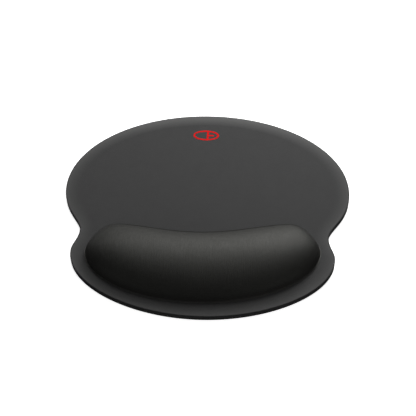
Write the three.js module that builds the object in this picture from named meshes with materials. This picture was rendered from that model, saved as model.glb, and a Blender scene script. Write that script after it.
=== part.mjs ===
// Mouse mat with a raised wrist rest: a laminated mat (grip rubber, glue film, foam, cloth) that
// carries a kidney-shaped foam cushion (glue, backing sheet, core, sealing film, stretch cover).
// Millimetres, +Z up. The origin is on the desk, under the middle of the mat; the user sits at -Y.
import * as THREE from "three";

// Mat outline. It is mirrored about X = 0: an elliptical mouse area behind, a waist, and a rounded
// lobe in front of the waist that carries the cushion.
const MAT_WIDTH = 250;
const MAT_DEPTH = 230;
const WIDEST_Y = 22.5; // where the mouse area is widest
const WAIST_HALF_WIDTH = 105.5;
const WAIST_Y = -31;
const LOBE_HALF_WIDTH = 110.2;
const LOBE_Y = -52;

// Mat layers, from the desk up.
const BASE_THICK = 2.0;
const BASE_GLUE_THICK = 0.2;
const FOAM_THICK = 2.2;
const CLOTH_THICK = 0.6;
const BASE_GLUE_INSET = 1.0;
const CLOTH_RIM_INSET = 0.5; // the cloth's cut edge leans in by this much

// Cushion, in its own frame: X along its length, origin at CUSHION_CENTRE, turned a little on the mat.
const CUSHION_CENTRE = new THREE.Vector2(0.7, -60);
const CUSHION_TURN_DEG = 2.3;
const CUSHION_HALF_LENGTH = 98;
const CUSHION_END_Y = 10.4; // where the ends are widest
const CUSHION_FRONT_Y = -41.9;
const CUSHION_BACK_Y = 28.2; // the back edge dips here, at the middle
const SHOULDER_X = 73.5; // the back edge bulges out at each shoulder
const SHOULDER_Y = 37.7;
const CUSHION_HEIGHT = 20; // above the mat's cloth
const SPINE_SHARE = 0.7; // the crest's length as a share of the cushion's
const SPINE_MIDDLE_Y = -4;
const SPINE_BOW = 8; // the crest's ends lie this much further back than its middle
const CREST_SLOPE_DEG = 84; // the sides stop here and a flat strip closes the crest

// Cushion layers. Skins are measured inwards from the outside of the cover.
const CUSHION_GLUE_THICK = 0.2;
const BACKING_THICK = 1.0;
const COVER_THICK = 0.6;
const FILM_THICK = 0.25;
const SKIN_GAP = 0.1;
const LIP_WIDTH = 1.3; // the cover's welded foot stands out by this much
const GLUE_INSET = 3.0;
const BACKING_INSET = 0.9;

// Printed mark: a plain pictogram of a mouse lying on its side, one connected piece.
const MARK_CENTRE = new THREE.Vector2(-4.5, 88.5);
const MARK_LENGTH = 24;
const MARK_WIDTH = 13;
const MARK_STROKE = 1.8;
const MARK_DIVIDER_X = 2.4;
const MARK_WHEEL_LENGTH = 4.8;
const MARK_THICK = 0.1;

// Heights worked out from the layers.
const FOAM_Z = BASE_THICK + BASE_GLUE_THICK;
const CLOTH_Z = FOAM_Z + FOAM_THICK;
const MAT_TOP = CLOTH_Z + CLOTH_THICK;
const BACKING_Z = MAT_TOP + CUSHION_GLUE_THICK;
const CORE_Z = BACKING_Z + BACKING_THICK;

const vec = (x, y) => new THREE.Vector2(x, y);

// A closed outline from the curves of its right half, which run from the front middle (x = 0) round
// to the back middle (x = 0). Each entry is [curve, number of steps along it].
function mirroredOutline(halfCurves) {
  const right = halfCurves.flatMap(([curve, steps]) => curve.getPoints(steps).slice(0, -1));
  const back = halfCurves.at(-1)[0].getPoint(1);
  const left = right.slice(1).reverse().map((p) => vec(-p.x, p.y));
  return [...right, vec(0, back.y), ...left];
}

function matOutline() {
  const half = MAT_WIDTH / 2;
  const front = -MAT_DEPTH / 2;
  return mirroredOutline([
    [new THREE.CubicBezierCurve(
      vec(0, front), vec(58, front), vec(LOBE_HALF_WIDTH, LOBE_Y - 33), vec(LOBE_HALF_WIDTH, LOBE_Y)), 16],
    [new THREE.CubicBezierCurve(
      vec(LOBE_HALF_WIDTH, LOBE_Y), vec(LOBE_HALF_WIDTH, LOBE_Y + 7),
      vec(WAIST_HALF_WIDTH, WAIST_Y - 9), vec(WAIST_HALF_WIDTH, WAIST_Y)), 8],
    [new THREE.CubicBezierCurve(
      vec(WAIST_HALF_WIDTH, WAIST_Y), vec(WAIST_HALF_WIDTH, WAIST_Y + 13),
      vec(half, WIDEST_Y - 31.5), vec(half, WIDEST_Y)), 12],
    [new THREE.EllipseCurve(0, WIDEST_Y, half, MAT_DEPTH / 2 - WIDEST_Y, 0, Math.PI / 2), 20],
  ]);
}

function cushionOutline() {
  return mirroredOutline([
    [new THREE.CubicBezierCurve(
      vec(0, CUSHION_FRONT_Y), vec(54.5, CUSHION_FRONT_Y),
      vec(CUSHION_HALF_LENGTH, CUSHION_END_Y - 26.3), vec(CUSHION_HALF_LENGTH, CUSHION_END_Y)), 13],
    [new THREE.CubicBezierCurve(
      vec(CUSHION_HALF_LENGTH, CUSHION_END_Y), vec(CUSHION_HALF_LENGTH, CUSHION_END_Y + 5),
      vec(SHOULDER_X + 14, SHOULDER_Y), vec(SHOULDER_X, SHOULDER_Y)), 7],
    [new THREE.CubicBezierCurve(
      vec(SHOULDER_X, SHOULDER_Y), vec(SHOULDER_X - 17.5, SHOULDER_Y),
      vec(30, CUSHION_BACK_Y), vec(0, CUSHION_BACK_Y)), 8],
  ]);
}

// The outline moved inwards by inset, or outwards where inset is negative.
function insetOutline(points, inset) {
  return points.map((p, i) => {
    const before = points.at(i - 1);
    const after = points[(i + 1) % points.length];
    const along = after.clone().sub(before).normalize();
    return vec(p.x - along.y * inset, p.y + along.x * inset);
  });
}

const atHeight = (points, z) => points.map((p) => new THREE.Vector3(p.x, p.y, z));

// Triangles that fill one anticlockwise ring, as indices into it.
function fillOf(ring) {
  return THREE.ShapeUtils.triangulateShape(ring.map((p) => vec(p.x, p.y)), []);
}

// A closed surface through equal-length rings, each joined to the next, with its first and last ring
// filled by the given triangles. The inside and outside of a skin share their diagonals.
function skinThrough(rings, firstFill = fillOf(rings[0]), lastFill = firstFill) {
  const count = rings[0].length;
  const top = (rings.length - 1) * count;
  const index = [];
  for (let band = 0; band < rings.length - 1; band++) {
    const rises = rings[band + 1][0].z >= rings[band][0].z;
    for (let i = 0; i < count; i++) {
      const a = band * count + i;
      const b = band * count + (i + 1) % count;
      const [c, d] = [a + count, b + count];
      index.push(...(rises ? [a, b, d, a, d, c] : [a, b, c, b, d, c]));
    }
  }
  for (const [a, b, c] of firstFill) index.push(a, c, b);
  for (const [a, b, c] of lastFill) index.push(top + a, top + b, top + c);
  const geometry = new THREE.BufferGeometry();
  geometry.setAttribute("position",
    new THREE.Float32BufferAttribute(rings.flat().flatMap((p) => [p.x, p.y, p.z]), 3));
  geometry.setIndex(index);
  geometry.computeVertexNormals();
  return geometry;
}

// The crest line that the cushion's sides rise to, as a point for each point of the foot.
function crestPoint(foot) {
  const x = foot.x * SPINE_SHARE;
  const reach = CUSHION_HALF_LENGTH * SPINE_SHARE;
  return vec(x, SPINE_MIDDLE_Y + SPINE_BOW * (x / reach) ** 2);
}

// Rings up the cushion's elliptical sides, inset from the cover's outside, from the mat's cloth or,
// for the layers that stand on the backing sheet, from fromZ.
const SIDE_STEPS = 7;
function cushionRings(foot, inset, fromZ = MAT_TOP) {
  const height = CUSHION_HEIGHT - inset;
  const edge = insetOutline(foot, inset);
  const backingSlope = Math.asin((CORE_Z - MAT_TOP) / height);
  const steepest = THREE.MathUtils.degToRad(CREST_SLOPE_DEG);
  const slopes = fromZ === MAT_TOP ? [0] : [];
  for (let step = 0; step < SIDE_STEPS; step++) {
    slopes.push(THREE.MathUtils.lerp(backingSlope, steepest, step / (SIDE_STEPS - 1)));
  }
  return slopes.map((slope) =>
    edge.map((p, i) => {
      const plan = crestPoint(foot[i]).lerp(p, Math.cos(slope));
      return new THREE.Vector3(plan.x, plan.y, MAT_TOP + height * Math.sin(slope));
    }));
}

// A hollow skin over the cushion. Its rings run down the inside from the crest to the foot and up the
// outside again, and a crest strip closes the skin on each side.
function cushionSkin(outer, inner, crestFill) {
  return skinThrough([...inner.toReversed(), ...outer], crestFill);
}

function flatSheet(outline, z, thick) {
  return skinThrough([atHeight(outline, z), atHeight(outline, z + thick)]);
}

function matCloth(outline) {
  return skinThrough([
    atHeight(outline, CLOTH_Z),
    atHeight(insetOutline(outline, CLOTH_RIM_INSET), MAT_TOP),
  ]);
}

// The cover stands on the mat with a thin welded lip all round its foot.
function cushionCover(foot, crestFill) {
  const lipEdge = insetOutline(foot, -LIP_WIDTH);
  const lip = [atHeight(lipEdge, MAT_TOP), atHeight(lipEdge, MAT_TOP + COVER_THICK)];
  const outer = cushionRings(foot, 0);
  outer[0] = atHeight(foot, MAT_TOP + COVER_THICK);
  return cushionSkin([...lip, ...outer], cushionRings(foot, COVER_THICK), crestFill);
}

function sealingFilm(foot, crestFill) {
  const outside = COVER_THICK + SKIN_GAP;
  const outer = cushionRings(foot, outside, CORE_Z);
  const inner = cushionRings(foot, outside + FILM_THICK, CORE_Z);
  return cushionSkin(outer, inner, crestFill);
}

function foamCore(foot, crestFill) {
  const inset = COVER_THICK + FILM_THICK + 2 * SKIN_GAP;
  const rings = cushionRings(foot, inset, CORE_Z);
  return skinThrough(rings, fillOf(rings[0]), crestFill);
}

// An ellipse with two windows: the palm side, and the buttons side with the wheel's bar in it.
function printedMark() {
  const length = MARK_LENGTH / 2;
  const width = MARK_WIDTH / 2;
  const windowLength = length - MARK_STROKE;
  const windowWidth = width - MARK_STROKE;
  const angleAt = (x) => Math.acos(x / windowLength);
  const shape = new THREE.Shape();
  shape.absellipse(0, 0, length, width, 0, 2 * Math.PI);
  const palm = new THREE.Path();
  const palmAngle = angleAt(MARK_DIVIDER_X - MARK_STROKE);
  palm.absellipse(0, 0, windowLength, windowWidth, palmAngle, 2 * Math.PI - palmAngle);
  const buttons = new THREE.Path();
  const buttonsAngle = angleAt(MARK_DIVIDER_X);
  const wheelHalf = MARK_STROKE / 2;
  buttons.absellipse(0, 0, windowLength, windowWidth, -buttonsAngle, buttonsAngle);
  buttons.lineTo(MARK_DIVIDER_X, wheelHalf);
  buttons.lineTo(MARK_DIVIDER_X + MARK_WHEEL_LENGTH, wheelHalf);
  buttons.lineTo(MARK_DIVIDER_X + MARK_WHEEL_LENGTH, -wheelHalf);
  buttons.lineTo(MARK_DIVIDER_X, -wheelHalf);
  shape.holes.push(palm, buttons);
  return new THREE.ExtrudeGeometry(shape, { depth: MARK_THICK, bevelEnabled: false, curveSegments: 16 });
}

const paint = (color, roughness) => new THREE.MeshStandardMaterial({ color, roughness, metalness: 0 });
const rubber = paint(0x121212, 0.85);
const foamEdge = paint(0x2b2b2b, 0.95);
const matWeave = paint(0x3f3f3f, 0.9);
const coverKnit = paint(0x33332f, 0.6);
const print = paint(0xd80c10, 0.6);
const glue = paint(0xd9d2bd, 0.5);
const backingSheet = paint(0x1c1c1c, 0.6);
const film = paint(0xb9bcc0, 0.3);
const coreFoam = paint(0xe4dcc0, 0.95);

function addPiece(group, name, geometry, material) {
  const mesh = new THREE.Mesh(geometry, material);
  mesh.name = name;
  group.add(mesh);
  return mesh;
}

function makeMat() {
  const mat = new THREE.Group();
  const outline = matOutline();
  addPiece(mat, "grip_base", flatSheet(outline, 0, BASE_THICK), rubber);
  addPiece(mat, "base_glue_film",
    flatSheet(insetOutline(outline, BASE_GLUE_INSET), BASE_THICK, BASE_GLUE_THICK), glue);
  addPiece(mat, "mat_foam", flatSheet(outline, FOAM_Z, FOAM_THICK), foamEdge);
  addPiece(mat, "mat_cloth", matCloth(outline), matWeave);
  const mark = addPiece(mat, "printed_mark", printedMark(), print);
  mark.position.set(MARK_CENTRE.x, MARK_CENTRE.y, MAT_TOP);
  return mat;
}

function makeCushion() {
  const cushion = new THREE.Group();
  cushion.position.set(CUSHION_CENTRE.x, CUSHION_CENTRE.y, 0);
  cushion.rotation.z = THREE.MathUtils.degToRad(CUSHION_TURN_DEG);
  const foot = cushionOutline();
  const crestFill = fillOf(cushionRings(foot, 0).at(-1));
  addPiece(cushion, "cushion_glue",
    flatSheet(insetOutline(foot, GLUE_INSET), MAT_TOP, CUSHION_GLUE_THICK), glue);
  addPiece(cushion, "cushion_backing",
    flatSheet(insetOutline(foot, BACKING_INSET), BACKING_Z, BACKING_THICK), backingSheet);
  addPiece(cushion, "cushion_core", foamCore(foot, crestFill), coreFoam);
  addPiece(cushion, "core_film", sealingFilm(foot, crestFill), film);
  addPiece(cushion, "cushion_cover", cushionCover(foot, crestFill), coverKnit);
  return cushion;
}

const wristRest = new THREE.Group();
wristRest.add(makeMat(), makeCushion());

export default wristRest;
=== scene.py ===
import math

import bpy
import numpy as np
from mathutils import Matrix, Vector


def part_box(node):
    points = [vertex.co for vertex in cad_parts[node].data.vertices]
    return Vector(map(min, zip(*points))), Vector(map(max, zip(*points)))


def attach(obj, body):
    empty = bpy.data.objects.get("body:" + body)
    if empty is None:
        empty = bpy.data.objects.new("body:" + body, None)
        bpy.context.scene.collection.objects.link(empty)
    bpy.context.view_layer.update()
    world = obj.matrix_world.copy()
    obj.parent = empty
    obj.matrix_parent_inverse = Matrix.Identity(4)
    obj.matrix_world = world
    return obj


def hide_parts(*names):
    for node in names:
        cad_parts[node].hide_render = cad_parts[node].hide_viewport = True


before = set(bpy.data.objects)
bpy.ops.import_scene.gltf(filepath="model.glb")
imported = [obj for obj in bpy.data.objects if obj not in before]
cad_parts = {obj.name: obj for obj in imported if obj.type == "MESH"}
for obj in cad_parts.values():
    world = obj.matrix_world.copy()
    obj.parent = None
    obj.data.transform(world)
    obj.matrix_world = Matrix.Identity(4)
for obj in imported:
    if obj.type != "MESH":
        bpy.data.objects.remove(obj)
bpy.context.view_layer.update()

MM = 0.001
HAIR = 0.01 * MM         # points closer than this count as being in one place

# ---------------------------------------------------------------------------------------------------
# Sizes. A distance inwards from an outline is called its depth.
# ---------------------------------------------------------------------------------------------------

BASE_LOW, BASE_HIGH = (corner.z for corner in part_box("grip_base"))
FOAM_LOW, FOAM_HIGH = (corner.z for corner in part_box("mat_foam"))
CLOTH_LOW, MAT_TOP = (corner.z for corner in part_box("mat_cloth"))
CORE_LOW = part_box("cushion_core")[0].z

CURVE_STEPS = 24         # steps between two points of a CAD outline when it is smoothed
MAT_POINTS = 600         # points round the mat's outline
RIM_WIDTH = 13 * MM      # the mat is pressed thinner towards its rim over this depth
RIM_DROP = 0.25 * MM     # and its top is this much lower there
RIM_DEPTHS = [RIM_WIDTH * (1 - step / 8) for step in range(8)]
EDGE_ROUND = 0.3 * MM    # the radius of the cloth's upper edge
ROUND_STEPS = 6
EDGE_SHADE_DEPTH = 1.2 * MM     # painted shade on the cloth, from its cut edge to this depth
FOAM_WAIST = 0.15 * MM   # the foam's cut edge is this much hollow
WAIST_STEPS = 6
BASE_ROUND = 0.25 * MM   # the bevel on the base's edges

TREAD_PITCH = 6.0 * MM   # grip texture under the base: small pads in a diagonal grid
TREAD_DEPTH = 0.35 * MM
TREAD_BORDER = 4.0 * MM  # a smooth border round the texture
TREAD_RINGS = 100
PAD_FLATNESS = 1.6       # over 1, the pads have flat tops

CUSHION_CENTRE = Vector((0.7 * MM, -60 * MM, 0))
CUSHION_TURN = math.radians(2.3)
BACKING_DEPTH = 0.9 * MM  # the backing sheet's edge lies this far inside the cushion's foot
FOOT_POINTS = 2400       # points on the fine outline that the foot is read from
CUSHION_HEIGHT = 20.6 * MM
CREST_MIDDLE_Y = -4 * MM  # the crest lies here halfway along, and runs to the tips in a bow
END_FULLNESS = 5         # how long the crest keeps its height before it falls to the tips
FOLD_SHARE = 0.7         # the rings close on this share of the crest's length
COVER_THICK = 0.6 * MM
WELD_THICK = 0.22 * MM   # the cover is pressed this thin by its weld
WELD_HEIGHT = 1.5 * MM   # up to here, and has its full thickness at twice the height
SKIN_GAP = 0.1 * MM      # between the cover, the film and the core
CORE_STEP = 0.02 * MM    # rings that would sink into the backing sheet stand this far apart on it
FILM_THICK = 0.25 * MM
LIP_WIDTH = 1.0 * MM     # the cover's welded foot stands out by this much
LIP_THICK = 0.4 * MM
CUSHION_STATIONS = 120   # points along each long side of the cushion
DOME_STEPS = 22          # steps from its foot to its crest

# The cushion's swell: its cover starts slightly smaller, and air pressure pushes it out as cloth.
FOOT_PINCH = 0.3 * MM    # the weld draws the foot in by this much
START_DROP = 0.3 * MM    # the start is this much lower
AIR_PRESSURE = 4.0
AIR_FRAMES = 20
VOXEL = 4 * MM
FARTHEST_SWELL = 5 * MM  # no point of the cloth moves further
KNIT_STIFFNESS = 0.6
KNIT_MASS = 0.005        # of each vertex, in kilograms
SKIRT = 8 * MM           # the cloth starts this far under its foot, so that its sides are whole there
HELD_HEIGHT = 1.5 * MM   # the cloth is held at its foot up to here
SWELL_EVENING = 10 * MM  # the swell is evened out over about this distance
BACK_SHADE_STEEP = 0.62        # painted shade on the cover's back starts where it falls away this steeply
BACK_SHADE_BLEND = 0.12        # and is complete where it is this much steeper

# Cloth and cover: colours are linear, from the valleys between the threads to the threads.
CLOTH_PITCH = 0.55 * MM
CLOTH_DARK = (0.022, 0.022, 0.022)
CLOTH_LIGHT = (0.044, 0.044, 0.044)
CLOTH_WORN = (0.050, 0.050, 0.049)
# The rim colour is a painted highlight along the mat's rim, lightest at the back where the key lights
# stand.
CLOTH_RIM_HIGHLIGHT = (0.108, 0.108, 0.106)
# Painted shade along the cloth's cut edge.
CLOTH_EDGE_SHADE = (0.009, 0.009, 0.009)
RIM_HIGHLIGHT_SIDES = 0.5          # the painted rim highlight is lightest at the back, and has this share of it elsewhere
RIM_HIGHLIGHT_FADE = 1.6           # how fast the lighter rim fades inwards,
RIM_HIGHLIGHT_FADE_BACK = 0.9      # and how fast it does at the back
RIB_PITCH = 0.7 * MM
STITCH_PITCH = 0.9 * MM
STREAK_WIDTH = 0.8 * MM
COVER_DARK = (0.0085, 0.0085, 0.0080)
COVER_LIGHT = (0.0165, 0.0165, 0.0155)
COVER_WORN = (0.026, 0.026, 0.0245)
# Painted shade: the cover's steep back face is darkened to near black.
COVER_BACK_SHADE = (0.0035, 0.0035, 0.0033)
# Painted highlight on the cover's welded lip.
COVER_WELD_HIGHLIGHT = (0.045, 0.045, 0.043)
INK_RED = (0.72, 0.001, 0.001)
INK_WORN = (0.50, 0.003, 0.003)

# Studio. Angles are in degrees, lengths in metres, light in watts.
CAMERA_LENS = 81.19
CAMERA_AZIMUTH = 4.14
CAMERA_ELEVATION = 48.60
CAMERA_ROLL = -1.215
CAMERA_TARGET = Vector((1.89 * MM, 3.25 * MM, 0))
CAMERA_DISTANCE = 0.8195
FLOOR_GLOW = 0.9
FLOOR_HALF = 6.0
FLOOR_GAP = 0.05 * MM    # the floor lies this far under the base
SOFTBOXES = [
    # name, azimuth, elevation, distance, size, watts
    ("key_above_back", 180, 55, 1.5, 0.5, 6.8),
    ("key_behind_left", 195, 35, 1.5, 0.5, 1.6),
    ("key_behind_right", 160, 35, 0.8, 0.4, 4.7),
    ("high_fill_right", 70, 70, 0.6, 0.5, 0.36),
    ("low_fill_right", 45, 12, 1.5, 1.0, 2.55),
    ("low_fill_back_left", 225, 12, 1.5, 1.0, 1.95),
    ("low_fill_left", 315, 12, 1.5, 1.0, 1.95),
]

# ---------------------------------------------------------------------------------------------------
# Outlines and skins. A ring is an array of points in order, anticlockwise from above.
# ---------------------------------------------------------------------------------------------------


def cad_ring(node, height, middle):
    """A CAD node's outline at a height, as (x, y) points in order round the middle."""
    points = {(round(v.co.x, 7), round(v.co.y, 7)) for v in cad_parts[node].data.vertices
              if abs(v.co.z - height) < HAIR}
    return np.array(sorted(points, key=lambda p: math.atan2(p[1] - middle[1], p[0] - middle[0])))


def smooth_ring(ring, count):
    """A closed Catmull-Rom curve through the ring's points, as count points equally far apart."""
    a, b, c, d = (np.roll(ring, shift, 0)[:, None, :] for shift in (1, 0, -1, -2))
    t = np.linspace(0, 1, CURVE_STEPS, endpoint=False)[None, :, None]
    dense = 0.5 * (2 * b + (c - a) * t + (2 * a - 5 * b + 4 * c - d) * t ** 2
                   + (3 * b - a - 3 * c + d) * t ** 3).reshape(-1, 2)
    closed = np.vstack([dense, dense[:1]])
    travelled = np.concatenate([[0], np.cumsum(np.linalg.norm(np.diff(closed, axis=0), axis=1))])
    wanted = np.linspace(0, travelled[-1], count, endpoint=False)
    return np.stack([np.interp(wanted, travelled, closed[:, k]) for k in (0, 1)], 1)


def inset(ring, depth):
    """The ring moved inwards by depth, or outwards where depth is negative."""
    along = np.roll(ring, -1, 0) - np.roll(ring, 1, 0)
    along /= np.linalg.norm(along, axis=1, keepdims=True)
    return ring + np.stack([-along[:, 1], along[:, 0]], 1) * depth


def at_height(ring, z):
    return np.column_stack([ring, np.broadcast_to(z, len(ring))])


def skin(name, rings, fold_first=False, fold_last=False, sharp=40):
    """A piece through equal rings, each joined to the next. Its first and last ring are filled, or
    folded onto themselves where their two halves lie on one line."""
    count = len(rings[0])
    vertices, ids = [], []
    for number, ring in enumerate(rings):
        folded = (fold_first and number == 0) or (fold_last and number == len(rings) - 1)
        kept = count // 2 + 1 if folded else count
        ids.append([len(vertices) + (min(i, count - i) if folded else i) for i in range(count)])
        vertices.extend(ring[:kept].tolist())
    faces = []
    for low, high in zip(ids, ids[1:]):
        for i in range(count):
            j = (i + 1) % count
            faces.append(tuple(dict.fromkeys((low[i], low[j], high[j], high[i]))))
    if not fold_first:
        faces.append(tuple(reversed(ids[0])))
    if not fold_last:
        faces.append(tuple(ids[-1]))
    mesh = bpy.data.meshes.new(name)
    mesh.from_pydata(vertices, [], faces)
    mesh.shade_smooth()
    mesh.set_sharp_from_angle(angle=math.radians(sharp))
    piece = bpy.data.objects.new(name, mesh)
    bpy.context.scene.collection.objects.link(piece)
    return piece


def point_values(piece, name, values):
    """A number at each of a piece's vertices, for its material to read."""
    attribute = piece.data.attributes.new(name, "FLOAT", "POINT")
    attribute.data.foreach_set("value", values.astype(np.float32).ravel())


# ---------------------------------------------------------------------------------------------------
# Materials
# ---------------------------------------------------------------------------------------------------


class Finish:
    """A material under construction: its shader, and short ways to add nodes."""

    def __init__(self, name, roughness, sockets=None):
        self.material = bpy.data.materials.new(name)
        self.material.use_nodes = True
        self.tree = self.material.node_tree
        self.shader = self.tree.nodes["Principled BSDF"]
        self.put(self.shader, "Roughness", roughness)
        for socket, value in (sockets or {}).items():
            self.put(self.shader, socket, value)
        self.place = self.add("TexCoord", out="Object")

    def put(self, node, socket, value):
        if isinstance(value, bpy.types.NodeSocket):
            self.tree.links.new(value, node.inputs[socket])
        else:
            node.inputs[socket].default_value = value

    def add(self, kind, inputs=None, out=0, **settings):
        node = self.tree.nodes.new("ShaderNode" + kind)
        for setting, value in settings.items():
            setattr(node, setting, value)
        for socket, value in (inputs or {}).items():
            self.put(node, socket, value)
        return node.outputs[out]

    def maths(self, operation, first, second=0.0, third=0.0):
        return self.add("Math", {0: first, 1: second, 2: third}, operation=operation)

    def scaled_place(self, x, y, z):
        return self.add("VectorMath", {0: self.place, 1: (x, y, z)}, operation="MULTIPLY")

    def noise(self, size, detail=3.0, stretch=(1, 1, 1)):
        """Noise with features of a size in metres, longer where stretch is over 1."""
        place = self.scaled_place(*(1 / (size * s) for s in stretch))
        return self.add("TexNoise", {"Vector": place, "Scale": 1.0, "Detail": detail})

    def waves(self, axis, pitch):
        """From 0 to 1 and back, once every pitch metres along X, Y or Z."""
        part = self.add("SeparateXYZ", {0: self.place}, out=axis)
        turns = self.maths("MULTIPLY", part, 2 * math.pi / pitch)
        return self.maths("MULTIPLY_ADD", self.maths("SINE", turns), 0.5, 0.5)

    def spread(self, value, low, high, to_low=0.0, to_high=1.0):
        return self.add("MapRange", {"Value": value, "From Min": low, "From Max": high,
                                     "To Min": to_low, "To Max": to_high})

    def blend(self, share, first, second):
        sockets = {"Factor": share, "A": first, "B": second}
        node = self.tree.nodes.new("ShaderNodeMix")
        node.data_type = "RGBA"
        for socket, value in sockets.items():
            place = next(s for s in node.inputs if s.name == socket and s.enabled)
            if isinstance(value, bpy.types.NodeSocket):
                self.tree.links.new(value, place)
            else:
                place.default_value = value if socket == "Factor" else (*value, 1)
        return next(s for s in node.outputs if s.enabled)

    def bump(self, height, distance, under=None):
        inputs = {"Height": height, "Distance": distance, "Strength": 1.0}
        if under is not None:
            inputs["Normal"] = under
        return self.add("Bump", inputs)

    def paint(self, colour, normal=None):
        self.put(self.shader, "Base Color", colour)
        if normal is not None:
            self.put(self.shader, "Normal", normal)
        return self.material


def mat_cloth_finish():
    """Charcoal polyester in a plain weave, with a painted highlight on its pressed rim and painted shade
    at its cut edge.
    """
    cloth = Finish("mat_cloth", 0.85, {"Sheen Weight": 0.12, "Sheen Roughness": 0.5})
    weave = cloth.maths("MULTIPLY", cloth.waves("X", CLOTH_PITCH), cloth.waves("Y", CLOTH_PITCH))
    mottling = cloth.noise(9 * MM, detail=5)
    fuzz = cloth.noise(0.6 * MM)
    thread = cloth.blend(cloth.spread(weave, 0, 1), CLOTH_DARK, CLOTH_LIGHT)
    worn = cloth.blend(cloth.spread(mottling, 0.3, 0.7, 0, 0.10), thread, CLOTH_WORN)
    # Painted highlight along the rim.
    rim = cloth.add("Attribute", attribute_name="rim", out="Fac")
    # Painted shade along the cut edge.
    edge_shade = cloth.add("Attribute", attribute_name="edge_shade", out="Fac")
    colour = cloth.blend(edge_shade, cloth.blend(rim, worn, CLOTH_RIM_HIGHLIGHT), CLOTH_EDGE_SHADE)
    cloth.put(cloth.shader, "Roughness", cloth.spread(fuzz, 0.2, 0.8, 0.8, 0.92))
    return cloth.paint(colour, cloth.bump(fuzz, 0.05 * MM, cloth.bump(weave, 0.06 * MM)))


def cover_finish():
    """Dark satin stretch knit with fine ribs across the cushion, with a painted highlight at its weld,
    and matt with painted shade near black on its steep back face."""
    knit = Finish("cover_knit", 0.55, {"Specular IOR Level": 0.46, "Specular Tint": (1, 1, 0.93, 1)})
    ribs = knit.waves("X", RIB_PITCH)
    stitches = knit.maths("MULTIPLY", ribs, knit.waves("Y", STITCH_PITCH))
    streaks = knit.noise(STREAK_WIDTH, detail=2, stretch=(1, 9, 9))
    fuzz = knit.noise(0.5 * MM)
    yarn = knit.blend(stitches, COVER_DARK, COVER_LIGHT)
    colour = knit.blend(knit.spread(streaks, 0.3, 0.7, 0, 0.25), yarn, COVER_WORN)
    # Painted highlight on the welded lip.
    weld = knit.add("Attribute", attribute_name="weld", out="Fac")
    # Painted shade, near black, on the steep back face.
    back = knit.add("Attribute", attribute_name="back", out="Fac")
    colour = knit.blend(back, knit.blend(weld, colour, COVER_WELD_HIGHLIGHT), COVER_BACK_SHADE)
    satin = knit.spread(streaks, 0.2, 0.8, 0.54, 0.66)
    knit.put(knit.shader, "Roughness", knit.maths("MAXIMUM", satin, back))
    grain = knit.bump(fuzz, 0.08 * MM, knit.bump(streaks, 0.09 * MM))
    return knit.paint(colour, knit.bump(ribs, 0.05 * MM, grain))


def foam_finish(name, dark, light, cell, roughness=0.95):
    """Foam with cells of about one size, each light in its middle and dark along its walls."""
    foam = Finish(name, roughness)
    place = foam.scaled_place(*(1 / cell,) * 3)
    cells = foam.add("TexVoronoi", {"Vector": place, "Scale": 1.0}, out="Distance")
    colour = foam.blend(foam.spread(cells, 0.1, 0.8), light, dark)
    return foam.paint(colour, foam.bump(cells, 0.2 * cell))


def rubber_finish():
    """Black foamed rubber: matt, faintly mottled and finely pitted."""
    rubber = Finish("grip_rubber", 0.85)
    pits = rubber.noise(0.35 * MM, detail=4)
    bloom = rubber.noise(14 * MM, detail=4)
    colour = rubber.blend(rubber.spread(bloom, 0.35, 0.75), (0.03, 0.03, 0.03), (0.055, 0.055, 0.054))
    rubber.put(rubber.shader, "Roughness", rubber.spread(pits, 0.3, 0.7, 0.75, 0.95))
    return rubber.paint(colour, rubber.bump(pits, 0.05 * MM))


def print_finish():
    """Red screen print that sits in the weave: the threads show through as small dips."""
    ink = Finish("red_print", 0.75, {"Specular IOR Level": 0.12})
    weave = ink.maths("MULTIPLY", ink.waves("X", CLOTH_PITCH), ink.waves("Y", CLOTH_PITCH))
    wear = ink.noise(0.8 * MM, detail=4)
    colour = ink.blend(ink.spread(wear, 0.45, 0.8, 0, 0.5), INK_RED, INK_WORN)
    return ink.paint(colour, ink.bump(weave, 0.05 * MM))


def glue_finish():
    """Hot-melt glue, yellowish and drawn into fine strings."""
    glue = Finish("laminating_glue", 0.45)
    strings = glue.noise(2 * MM, detail=5, stretch=(1, 4, 1))
    colour = glue.blend(glue.spread(strings, 0.3, 0.7), (0.50, 0.45, 0.33), (0.72, 0.68, 0.55))
    return glue.paint(colour, glue.bump(strings, 0.05 * MM))


def sheet_plastic_finish():
    """Black plastic sheet with a fine pebbled grain."""
    plastic = Finish("backing_sheet", 0.5)
    grain = plastic.noise(0.7 * MM, detail=3)
    colour = plastic.blend(plastic.spread(grain, 0.3, 0.7), (0.011, 0.011, 0.011), (0.018, 0.018, 0.018))
    plastic.put(plastic.shader, "Roughness", plastic.spread(grain, 0.3, 0.7, 0.42, 0.6))
    return plastic.paint(colour, plastic.bump(grain, 0.03 * MM))


def film_finish():
    """Slightly cloudy polyurethane film with shallow creases."""
    film = Finish("sealing_film", 0.3)
    creases = film.noise(12 * MM, detail=4, stretch=(2, 1, 1))
    colour = film.blend(film.spread(creases, 0.3, 0.7), (0.48, 0.49, 0.50), (0.62, 0.63, 0.64))
    film.put(film.shader, "Roughness", film.spread(creases, 0.3, 0.7, 0.22, 0.4))
    return film.paint(colour, film.bump(creases, 0.3 * MM))


# ---------------------------------------------------------------------------------------------------
# The mat
# ---------------------------------------------------------------------------------------------------


def pressed(depth):
    """How far the mat's top is pressed down at a depth inside its outline."""
    return RIM_DROP * max(0.0, 1 - depth / RIM_WIDTH) ** 2


def pressed_face(z, depths):
    """A flat face at height z that follows the pressed rim, as a profile of (depth, height)."""
    return [(depth, z - pressed(depth)) for depth in depths]


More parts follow.
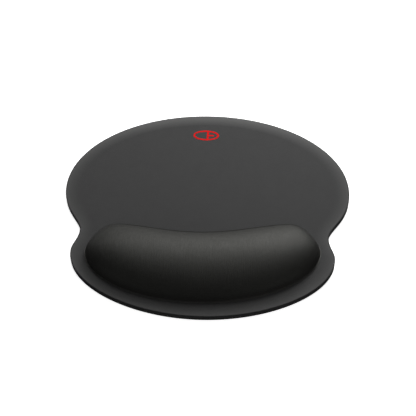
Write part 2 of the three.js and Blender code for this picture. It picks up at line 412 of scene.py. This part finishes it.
def make_mat_cloth(outline):
    """One sheet of cloth: its edge is rounded over, and it follows the pressed rim."""
    edge = []
    for step in range(ROUND_STEPS + 1):
        turn = step / ROUND_STEPS * math.pi / 2
        depth = EDGE_ROUND * (1 - math.cos(turn))
        edge.append((depth, MAT_TOP - pressed(depth) - EDGE_ROUND * (1 - math.sin(turn))))
    profile = [*pressed_face(CLOTH_LOW, [*RIM_DEPTHS, 0.0]), *edge,
               *pressed_face(MAT_TOP, [EDGE_SHADE_DEPTH, *reversed(RIM_DEPTHS)])]
    piece = skin("mat_cloth_sheet", [at_height(inset(outline, depth), z) for depth, z in profile])
    depths = np.array(profile)[:, :1]
    # The painted rim highlight: strongest at the back, fading inwards.
    back = np.clip(outline[:, 1] / outline[:, 1].max(), 0, 1) ** 2
    rim = (np.clip(1 - depths / RIM_WIDTH, 0, 1) ** (RIM_HIGHLIGHT_FADE + (RIM_HIGHLIGHT_FADE_BACK - RIM_HIGHLIGHT_FADE) * back)
           * (RIM_HIGHLIGHT_SIDES + (1 - RIM_HIGHLIGHT_SIDES) * back))
    # Painted shade along the cut edge.
    edge_shade = np.clip((EDGE_SHADE_DEPTH - depths) / (EDGE_SHADE_DEPTH - EDGE_ROUND), 0, 1)
    point_values(piece, "rim", rim)
    point_values(piece, "edge_shade", np.repeat(edge_shade, len(outline)))
    return piece


def make_mat_foam(outline):
    """The foam layer: its cut edge is slightly hollow, and its top follows the pressed rim."""
    side = []
    top = FOAM_HIGH - pressed(0)
    for step in range(WAIST_STEPS + 1):
        share = step / WAIST_STEPS
        side.append((FOAM_WAIST * math.sin(share * math.pi), FOAM_LOW + (top - FOAM_LOW) * share))
    profile = [(RIM_WIDTH, FOAM_LOW), *side, *pressed_face(FOAM_HIGH, reversed(RIM_DEPTHS))]
    return skin("mat_foam_layer", [at_height(inset(outline, depth), z) for depth, z in profile])


def make_grip_base(outline):
    """The rubber base, with bevelled edges and a texture of small square pads under it."""
    side = [(RIM_WIDTH, BASE_HIGH), (BASE_ROUND, BASE_HIGH), (0, BASE_HIGH - BASE_ROUND),
            (0, BASE_LOW + BASE_ROUND), (BASE_ROUND, BASE_LOW)]
    rings = [at_height(inset(outline, depth), z) for depth, z in side]
    border = inset(outline, BASE_ROUND)
    middle = border.mean(0)
    reach = np.linalg.norm(border - middle, axis=1)
    for step in range(1, TREAD_RINGS):
        ring = middle + (border - middle) * (1 - step / TREAD_RINGS)
        pads = np.ones(len(ring))
        for diagonal in (ring @ (1, 1), ring @ (1, -1)):
            turns = math.pi * diagonal / TREAD_PITCH / math.sqrt(2)
            pads *= np.clip(PAD_FLATNESS * np.cos(turns) ** 2, 0, 1)
        fade = np.clip(reach * step / TREAD_RINGS / TREAD_BORDER - 0.5, 0, 1)
        rings.append(at_height(ring, BASE_LOW + TREAD_DEPTH * (1 - pads) * fade))
    return skin("grip_base_tread", rings)


# ---------------------------------------------------------------------------------------------------
# The cushion, in its own frame: X along its length. The two halves of a ring have the same X.
# ---------------------------------------------------------------------------------------------------


def cushion_foot():
    """The cushion's foot, from its right tip: CUSHION_STATIONS steps along its back to its left tip,
    and as many along its front."""
    backing_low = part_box("cushion_backing")[0].z
    ring = cad_ring("cushion_backing", backing_low, CUSHION_CENTRE) - np.array(CUSHION_CENTRE.xy)
    c, s = math.cos(CUSHION_TURN), math.sin(CUSHION_TURN)
    ring = ring @ np.array([[c, -s], [s, c]])
    ring = inset(smooth_ring(ring, FOOT_POINTS), -BACKING_DEPTH)
    right, left = ring[:, 0].argmax(), ring[:, 0].argmin()
    ring = np.roll(ring, -right, 0)
    turn = (left - right) % len(ring)
    back, front = ring[:turn + 1][::-1], np.vstack([ring[turn:], ring[:1]])
    middle, half = (ring[0, 0] + ring[turn, 0]) / 2, (ring[0, 0] - ring[turn, 0]) / 2
    x = middle + half * np.cos(np.linspace(0, math.pi, CUSHION_STATIONS + 1))
    back_y, front_y = (np.interp(x, line[:, 0], line[:, 1]) for line in (back, front))
    return np.vstack([np.column_stack([x, back_y]), np.column_stack([x, front_y])[-2:0:-1]])


def crest_y(x, tip):
    return CREST_MIDDLE_Y + (tip[1] - CREST_MIDDLE_Y) * (x / tip[0]) ** 2


def dome(edge, height):
    """Rings up the cushion's sides from its edge on the mat to its crest, where the last ring is
    folded. Across, it is a quarter of an ellipse on each side of the crest, and along the crest its
    height falls to nothing at the tips."""
    tip, stations = edge[0], CUSHION_STATIONS
    back, front = edge[stations::-1], np.vstack([edge[stations:], edge[:1]])
    crest_x = edge[:, 0] * FOLD_SHARE
    crest = np.column_stack([crest_x, crest_y(crest_x, tip)])
    rings = []
    for slope in np.linspace(0, math.pi / 2, DOME_STEPS + 1):
        x, y = (crest + (edge - crest) * math.cos(slope)).T
        top = crest_y(x, tip)
        reach = np.where(y > top, np.interp(x, back[:, 0], back[:, 1]) - top,
                         top - np.interp(x, front[:, 0], front[:, 1]))
        across = np.clip(1 - ((y - top) / np.maximum(reach, HAIR)) ** 2, 0, 1)
        along = np.clip(1 - np.abs(x / tip[0]) ** END_FULLNESS, 0, 1)
        z = height * np.sqrt(across * along) if slope else 0
        rings.append(np.column_stack([x, y, np.broadcast_to(MAT_TOP + z, len(x))]))
    return np.array(rings)


def past_crest(values):
    """A dome's values, and one more row: the row below the crest again, as seen from its other side."""
    other_side = -np.arange(values.shape[1])
    return np.concatenate([values, values[-2:-1, other_side]])


def outward(rings):
    """The unit normals of a dome's rings: level at its foot. The crest's two ends, where the last ring
    turns back on itself, take theirs from the ring below."""
    along = np.roll(rings, -1, 1) - np.roll(rings, 1, 1)
    up = np.gradient(past_crest(rings), axis=0)[:-1]
    ends = [0, rings.shape[1] // 2]
    along[-1, ends] = along[-2, ends]
    up[-1, ends] = (rings[-1] - rings[-2])[ends]
    normals = np.cross(along, up)
    normals[0, :, 2] = 0
    return normals / np.linalg.norm(normals, axis=2, keepdims=True)


def pumped_up(rings):
    """The swell at every point of the rings, in metres, from a cloth simulation with air inside."""
    scene = bpy.context.scene
    blank = skin("pumped_up", [rings[0] - (0, 0, SKIRT), *rings], fold_last=True)
    blank.modifiers.new("voxels", "REMESH").voxel_size = VOXEL
    coarse = bpy.data.meshes.new_from_object(blank.evaluated_get(bpy.context.evaluated_depsgraph_get()))
    blank.modifiers.clear()
    blank.data = coarse
    rest = np.array([v.co for v in coarse.vertices])
    held = blank.vertex_groups.new(name="held")
    held.add(np.flatnonzero(rest[:, 2] < MAT_TOP + HELD_HEIGHT).tolist(), 1.0, "REPLACE")
    air = blank.modifiers.new("air", "CLOTH")
    air.point_cache.frame_start, air.point_cache.frame_end = 1, AIR_FRAMES
    air.settings.vertex_group_mass = held.name
    air.settings.tension_stiffness = air.settings.compression_stiffness = KNIT_STIFFNESS
    air.settings.mass = KNIT_MASS
    air.settings.use_pressure = True
    air.settings.uniform_pressure_force = AIR_PRESSURE
    air.settings.effector_weights.gravity = 0
    for number in range(1, AIR_FRAMES + 1):
        scene.frame_set(number)
    swollen = blank.evaluated_get(bpy.context.evaluated_depsgraph_get()).data
    step = np.array([v.co for v in swollen.vertices]) - rest
    length = np.linalg.norm(step, axis=1, keepdims=True)
    step *= np.minimum(1, FARTHEST_SWELL / np.maximum(length, 1e-9))
    scene.frame_set(1)
    bpy.data.objects.remove(blank)

    swell = []
    for ring, normals in zip(rings, outward(rings)):
        apart = np.linalg.norm(ring[:, None] - rest[None], axis=2)
        near = np.exp(-(apart / SWELL_EVENING) ** 2)
        swell.append((near @ step * normals).sum(1) / near.sum(1))
    return np.array(swell)


def cover_rings(foot):
    """The cover's outer face, swollen, from its foot to its crest."""
    start = dome(inset(foot, FOOT_PINCH), CUSHION_HEIGHT - START_DROP)
    swell = pumped_up(start)
    swell[0] = 0
    return start + outward(start) * swell[..., None]


def lip_profile():
    """The welded foot of the cover, from its outer edge to the crease: (outwards, up) in metres."""
    return [(LIP_WIDTH, 0.0), (LIP_WIDTH, 0.6 * LIP_THICK), (LIP_WIDTH - 0.15 * MM, LIP_THICK),
            (0.4 * LIP_WIDTH, LIP_THICK), (0.1 * LIP_WIDTH, 0.7 * LIP_THICK)]


def place_on_mat(piece):
    piece.location = CUSHION_CENTRE
    piece.rotation_euler.z = CUSHION_TURN
    return piece


def unfolded(values):
    """The values at the vertices of a skin that is folded at both ends, from a value for each point of
    its rings."""
    kept = values.shape[1] // 2 + 1
    return np.concatenate([values[0, :kept], values[1:-1].ravel(), values[-1, :kept]])


def make_cover(foot, outer):
    """The cover: a shell with its inner face, its welded lip and its outer face in one skin."""
    thick = np.interp(outer[..., 2], (MAT_TOP + WELD_HEIGHT, MAT_TOP + 2 * WELD_HEIGHT),
                      (WELD_THICK, COVER_THICK))
    inner = outer - outward(outer) * thick[..., None]
    weld = inset(foot, FOOT_PINCH)
    lip = [at_height(inset(weld, -out), MAT_TOP + up) for out, up in lip_profile()]
    rings = [*inner[::-1], *lip, *outer[1:]]
    cover = place_on_mat(skin("cushion_cover_knit", rings, fold_first=True, fold_last=True, sharp=60))
    outer_from = len(inner) + len(lip)
    weld_highlight_share, back_shade_share = np.zeros((2, len(rings), len(foot)))
    # The welded lip gets a painted highlight.
    weld_highlight_share[len(inner):outer_from] = 1
    # The steep back face gets painted shade.
    normals = outward(outer)[1:]
    steepness = normals[..., 1] / np.maximum(normals[..., 2], 0.01)
    back_shade_share[outer_from:] = np.clip((steepness - BACK_SHADE_STEEP) / BACK_SHADE_BLEND, 0, 1)
    point_values(cover, "weld", unfolded(weld_highlight_share))
    point_values(cover, "back", unfolded(back_shade_share))
    return cover


def under_cover(outer, depth):
    """The rings at a depth under the cover's outer face, standing on the backing sheet."""
    rings = outer - outward(outer) * depth
    lowest = CORE_LOW + np.arange(len(rings)) * CORE_STEP
    for k in range(len(rings) - 2, -1, -1):
        low = rings[k, :, 2] < lowest[k]
        rings[k, low, :2] = rings[k + 1, low, :2]
        rings[k, low, 2] = lowest[k]
    return rings


def make_core_film(outer):
    depth = COVER_THICK + SKIN_GAP
    rings = [*under_cover(outer, depth + FILM_THICK)[::-1], *under_cover(outer, depth)]
    return place_on_mat(skin("core_sealing_film", rings, fold_first=True, fold_last=True))


def make_core(outer):
    rings = under_cover(outer, COVER_THICK + FILM_THICK + 2 * SKIN_GAP)
    core = place_on_mat(skin("foam_core", rings, fold_last=True))
    return core


# ---------------------------------------------------------------------------------------------------
# Studio
# ---------------------------------------------------------------------------------------------------


def direction(azimuth, elevation):
    """The unit vector towards a place seen at an azimuth, from 0 at the front to 90 at the right."""
    a, e = math.radians(azimuth), math.radians(elevation)
    return Vector((math.sin(a) * math.cos(e), -math.cos(a) * math.cos(e), math.sin(e)))


def make_camera():
    data = bpy.data.cameras.new("camera")
    data.sensor_width = 36
    data.lens = CAMERA_LENS
    data.clip_start, data.clip_end = 0.01, 20
    camera = bpy.data.objects.new("camera", data)
    bpy.context.scene.collection.objects.link(camera)
    turn = (Matrix.Rotation(math.radians(CAMERA_AZIMUTH), 4, "Z")
            @ Matrix.Rotation(math.radians(90 - CAMERA_ELEVATION), 4, "X")
            @ Matrix.Rotation(math.radians(CAMERA_ROLL), 4, "Z"))
    place = CAMERA_TARGET + direction(CAMERA_AZIMUTH, CAMERA_ELEVATION) * CAMERA_DISTANCE
    camera.matrix_world = Matrix.Translation(place) @ turn
    bpy.context.scene.camera = camera


def make_softbox(name, azimuth, elevation, distance, size, watts):
    data = bpy.data.lights.new(name, "AREA")
    data.shape = "DISK"
    data.size = size
    data.energy = watts
    light = bpy.data.objects.new(name, data)
    bpy.context.scene.collection.objects.link(light)
    towards = direction(azimuth, elevation)
    light.location = towards * distance
    light.rotation_euler = towards.to_track_quat("Z", "Y").to_euler()


def make_floor():
    """A pale floor that also glows evenly. It is only a backdrop: it throws no light on the object."""
    half, z = FLOOR_HALF, -FLOOR_GAP
    corners = [(-half, -half, z), (half, -half, z), (half, half, z), (-half, half, z)]
    mesh = bpy.data.meshes.new("floor")
    mesh.from_pydata(corners, [], [(0, 1, 2, 3)])
    floor = bpy.data.objects.new("floor", mesh)
    bpy.context.scene.collection.objects.link(floor)
    paper = Finish("floor_paper", 0.95, {"Emission Color": (1, 1, 1, 1), "Emission Strength": FLOOR_GLOW})
    grain = paper.noise(4 * MM)
    mesh.materials.append(paper.paint(paper.blend(grain, (0.86, 0.86, 0.86), (0.9, 0.9, 0.9))))
    floor.visible_diffuse = False
    floor.visible_glossy = False


def make_world():
    """White all round, behind the floor. It isn't a light: only the softboxes light the object."""
    world = bpy.data.worlds.new("studio")
    world.use_nodes = True
    bpy.context.scene.world = world
    tree = world.node_tree
    background = tree.nodes["Background"]
    path = tree.nodes.new("ShaderNodeLightPath")
    tree.links.new(path.outputs["Is Camera Ray"], background.inputs["Strength"])
    background.inputs["Color"].default_value = (1, 1, 1, 1)


# ---------------------------------------------------------------------------------------------------
# Building it
# ---------------------------------------------------------------------------------------------------

make_camera()
mat_outline = smooth_ring(cad_ring("mat_foam", FOAM_LOW, (0, 0)), MAT_POINTS)
foot = cushion_foot()
cover_face = cover_rings(foot)
glue = glue_finish()
finished = [
    (make_grip_base(mat_outline), "grip_base", "grip_rubber", rubber_finish()),
    (make_mat_foam(mat_outline), "mat_foam", "mat_foam",
     foam_finish("mat_foam", (0.04, 0.04, 0.04), (0.11, 0.11, 0.11), 0.35 * MM)),
    (make_mat_cloth(mat_outline), "mat_cloth", "mat_cloth", mat_cloth_finish()),
    (make_core(cover_face), "cushion_core", "core_foam",
     foam_finish("core_foam", (0.55, 0.48, 0.33), (0.80, 0.74, 0.58), 0.6 * MM)),
    (make_core_film(cover_face), "core_film", "sealing_film", film_finish()),
    (make_cover(foot, cover_face), "cushion_cover", "cover_knit", cover_finish()),
]
for piece, node, slot, material in finished:
    piece.data.materials.append(material)
    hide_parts(node)
    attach(piece, "root")
for node, material in (("base_glue_film", glue), ("cushion_glue", glue),
                       ("cushion_backing", sheet_plastic_finish()), ("printed_mark", print_finish())):
    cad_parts[node].data.materials.clear()
    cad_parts[node].data.materials.append(material)

make_floor()
make_world()
for softbox in SOFTBOXES:
    make_softbox(*softbox)
bpy.context.scene.view_settings.view_transform = "Standard"
